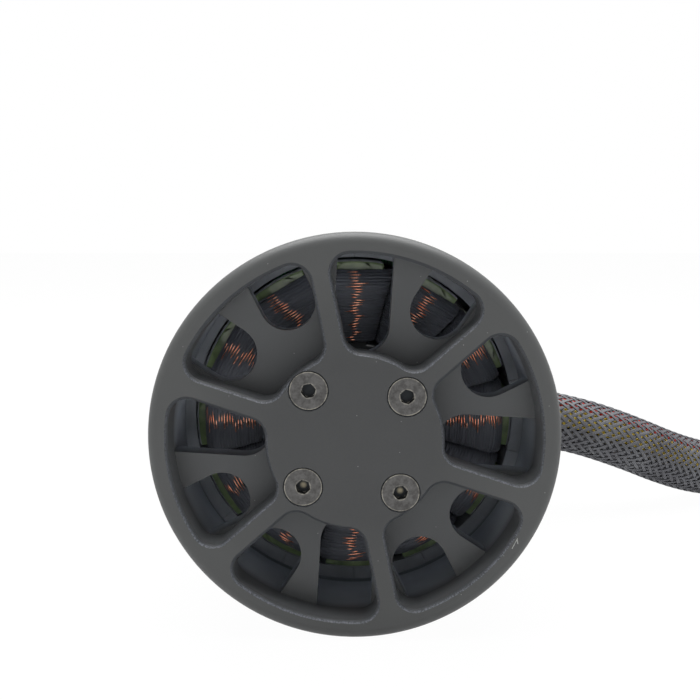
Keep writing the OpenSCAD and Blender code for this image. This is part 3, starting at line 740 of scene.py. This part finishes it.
def turn_of_wire(form, angle, out, inset, radius, lean=0, drift=0, bare=-1, spot=0):
    """One turn round a tooth, arched over both its ends. The arches lean and drift aside.
    Over an angle near its top, along one line of the wire, the arch lies bare on the varnish: partly
    rubbed, partly a painted highlight."""
    steps, sides = 24, 6
    share = (out - COIL_IN_R) / (COIL_OUT_R - COIL_IN_R)
    half = out * math.tan(math.pi / TEETH) - SIDE_GAP - inset + BURIED
    # The crown of the coil rises outwards along its tooth and rounds off near the tip
    climb = min(1.0, share / 0.75) * (CROWN_HIGH - CROWN_LOW)
    round_off = 65 * MM * max(0.0, share - 0.8) ** 2
    top = STACK_HALF + CROWN_LOW + climb - round_off - inset
    rise = 0.55 * half
    fade = math.radians(9)
    line, wear_and_highlight = [], []
    for end in (1, -1):
        for k in range(steps + 1):
            a = math.pi * k / steps
            past = abs(a - math.pi / 2 - end * spot) - bare / 2
            worn_and_highlit = max(0.0, min(1.0, 0.5 - past / fade))
            wear_and_highlight += [worn_and_highlit] + [0.0] * (sides - 1)
            up, beside = math.sin(a), end * half * math.cos(a)
            leant = out + lean * up ** 4 * beside / half
            forward = top - rise + rise * up + BURIED * worn_and_highlit
            line.append(around(angle, leant, beside + drift * up, end * forward))
    radial = Vector((math.cos(angle), 0, math.sin(angle)))
    rings = []
    for i, p in enumerate(line):
        along = (line[(i + 1) % len(line)] - line[i - 1]).normalized()
        side = along.cross(radial).normalized()
        over = side.cross(along)
        rings.append(ring_of(p, radius, side, over, sides))
    form.loft(rings, closed=True, wear_and_highlight=wear_and_highlight)


def make_winding(phase, first_pair):
    """Four coils in two opposite pairs. Loose turns lie in the varnish over closer ones."""
    form = Form()
    turns = 26
    first, last = COIL_IN_R + STRAND_R, COIL_OUT_R - STRAND_R
    for tooth in (2 * first_pair, 2 * first_pair + 1, 2 * first_pair + 6, 2 * first_pair + 7):
        angle = 2 * math.pi * tooth / TEETH
        lean = drift = spot = 0.0
        for k in range(turns):
            out = first + (last - first) * k / (turns - 1)
            lean = 0.4 * lean + draw.uniform(-0.65, 0.65) * MM
            drift = 0.5 * drift + draw.uniform(-0.3, 0.3) * MM
            spot = 0.5 * spot + math.radians(draw.uniform(-8, 8))
            bare = math.radians(draw.uniform(9, 28))
            turn_of_wire(form, angle, out, STRAND_R + BURIED, STRAND_R, lean, drift, bare, spot)
            turn_of_wire(form, angle, out, FILL_INSET, FILL_R)
    coils = form.piece(f"coils_{phase}", "stator", ["copper"])
    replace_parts(coils, f"winding_{phase}")


for number, phase in enumerate("abc"):
    make_winding(phase, number)


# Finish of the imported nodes

NODE_SLOTS = {
    "bell_cap": "bell_alloy",
    "bell_screws": "screw_steel",
    "flux_ring": "can_steel",
    "shaft": "shaft_steel",
    "front_shim": "shim_steel",
    "rear_shim": "shim_steel",
    "circlip": "clip_steel",
    "base_mount": "base_alloy",
    "stator_core": "stator_coating",
    "winding_ends": "lead_sleeving",
    "hall_board": "board",
    "hall_sensors": "sensor_case",
    "cable_grommet": "grommet_rubber",
    "sensor_plug": "plug_plastic",
}
BEARING_SLOTS = {
    "inner": "bearing_steel",
    "outer": "bearing_steel",
    "balls": "ball_steel",
    "cage": "cage_steel",
    "shields": "shield_steel",
}
for end in ("front", "rear"):
    for part, slot in BEARING_SLOTS.items():
        NODE_SLOTS[f"{end}_bearing_{part}"] = slot
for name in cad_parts:
    if name.startswith("magnet_"):
        NODE_SLOTS[name] = "magnet_coating"


def soften(node, width, segments=2):
    """Rounds the edges over 35 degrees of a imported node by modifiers."""
    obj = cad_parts[node]
    weld = obj.modifiers.new("weld", "WELD")
    weld.merge_threshold = 0.001 * MM
    bevel = obj.modifiers.new("bevel", "BEVEL")
    bevel.width = width
    bevel.segments = segments
    bevel.limit_method = "ANGLE"
    bevel.angle_limit = math.radians(35)


for name, slot in NODE_SLOTS.items():
    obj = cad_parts[name]
    for place in obj.material_slots:
        place.material = LOOKS[slot]

soften("stator_core", 0.95 * MM, 4)
soften("bell_screws", 0.07 * MM)
soften("cable_grommet", 0.4 * MM)
soften("hall_sensors", 0.15 * MM)
soften("sensor_plug", 0.2 * MM)


# Stage and light

def shows_background(tree):
    """1 for a ray that sees the background: the camera's, a reflected one or one through glass."""
    path = tree.nodes.new("ShaderNodeLightPath")
    found = path.outputs["Is Camera Ray"]
    for kind in ("Is Glossy Ray", "Is Transmission Ray"):
        either = tree.nodes.new("ShaderNodeMath")
        either.operation = "MAXIMUM"
        tree.links.new(found, either.inputs[0])
        tree.links.new(path.outputs[kind], either.inputs[1])
        found = either.outputs[0]
    return found


def make_floor():
    """White table that keeps a faint shadow of the motor where it is seen."""
    reach = 3.0
    corners = ((-reach, -reach), (reach, -reach), (reach, reach), (-reach, reach))
    mesh = bpy.data.meshes.new("floor")
    mesh.from_pydata([(x, y, floor_z) for x, y in corners], [], [(0, 1, 2, 3)])
    floor = bpy.data.objects.new("floor", mesh)
    scene.collection.objects.link(floor)
    material = bpy.data.materials.new("floor_white")
    material.use_nodes = True
    tree = material.node_tree
    tree.nodes.clear()
    out = tree.nodes.new("ShaderNodeOutputMaterial")
    mix = tree.nodes.new("ShaderNodeMixShader")
    lit = tree.nodes.new("ShaderNodeBsdfDiffuse")
    lit.inputs["Color"].default_value = (0.85, 0.85, 0.85, 1)
    glow = tree.nodes.new("ShaderNodeEmission")
    glow.inputs["Strength"].default_value = 1
    # The rest, seen as a lit surface, takes the shadow
    glowing_share = 0.98
    share = tree.nodes.new("ShaderNodeMath")
    share.operation = "MULTIPLY"
    share.inputs[1].default_value = glowing_share
    tree.links.new(shows_background(tree), share.inputs[0])
    tree.links.new(share.outputs[0], mix.inputs[0])
    tree.links.new(lit.outputs[0], mix.inputs[1])
    tree.links.new(glow.outputs[0], mix.inputs[2])
    tree.links.new(mix.outputs[0], out.inputs["Surface"])
    mesh.materials.append(material)


def make_world():
    """White where it is seen. As a light, bright behind the motor and dim on the camera's side."""
    world = bpy.data.worlds.new("studio")
    scene.world = world
    world.use_nodes = True
    tree = world.node_tree
    sky = tree.nodes["Background"]
    place = tree.nodes.new("ShaderNodeTexCoord")
    brighter_side = (0, 0.9, -0.44)
    tilt = tree.nodes.new("ShaderNodeVectorMath")
    tilt.operation = "DOT_PRODUCT"
    tilt.inputs[1].default_value = brighter_side
    dim, bright = (0.357, 0.361, 0.364, 1), (0.714, 0.714, 0.714, 1)
    ramp = tree.nodes.new("ShaderNodeValToRGB")
    band = ramp.color_ramp.elements
    band[0].position, band[0].color = 0.0, dim
    band[1].position, band[1].color = 0.45, bright
    tree.links.new(place.outputs["Generated"], tilt.inputs[0])
    tree.links.new(tilt.outputs["Value"], ramp.inputs[0])
    mix = tree.nodes.new("ShaderNodeMix")
    mix.data_type = "RGBA"
    mix.inputs[7].default_value = (1, 1, 1, 1)
    tree.links.new(shows_background(tree), mix.inputs[0])
    tree.links.new(ramp.outputs[0], mix.inputs[6])
    tree.links.new(mix.outputs[2], sky.inputs["Color"])
    sky.inputs["Strength"].default_value = 1


def make_lamp(name, place, aim, width, height, power):
    """A soft box that looks at a point."""
    data = bpy.data.lights.new(name, "AREA")
    data.shape = "RECTANGLE"
    data.size, data.size_y = width, height
    data.energy = power
    lamp = bpy.data.objects.new(name, data)
    lamp.location = place
    lamp.rotation_euler = (Vector(aim) - Vector(place)).to_track_quat("-Z", "Y").to_euler()
    scene.collection.objects.link(lamp)


make_floor()
make_world()
make_lamp("top_box", place=(0, 0.05, 0.75), aim=(0, 0, 0), width=0.9, height=0.7, power=14.3)
scene.view_settings.view_transform = "Standard"
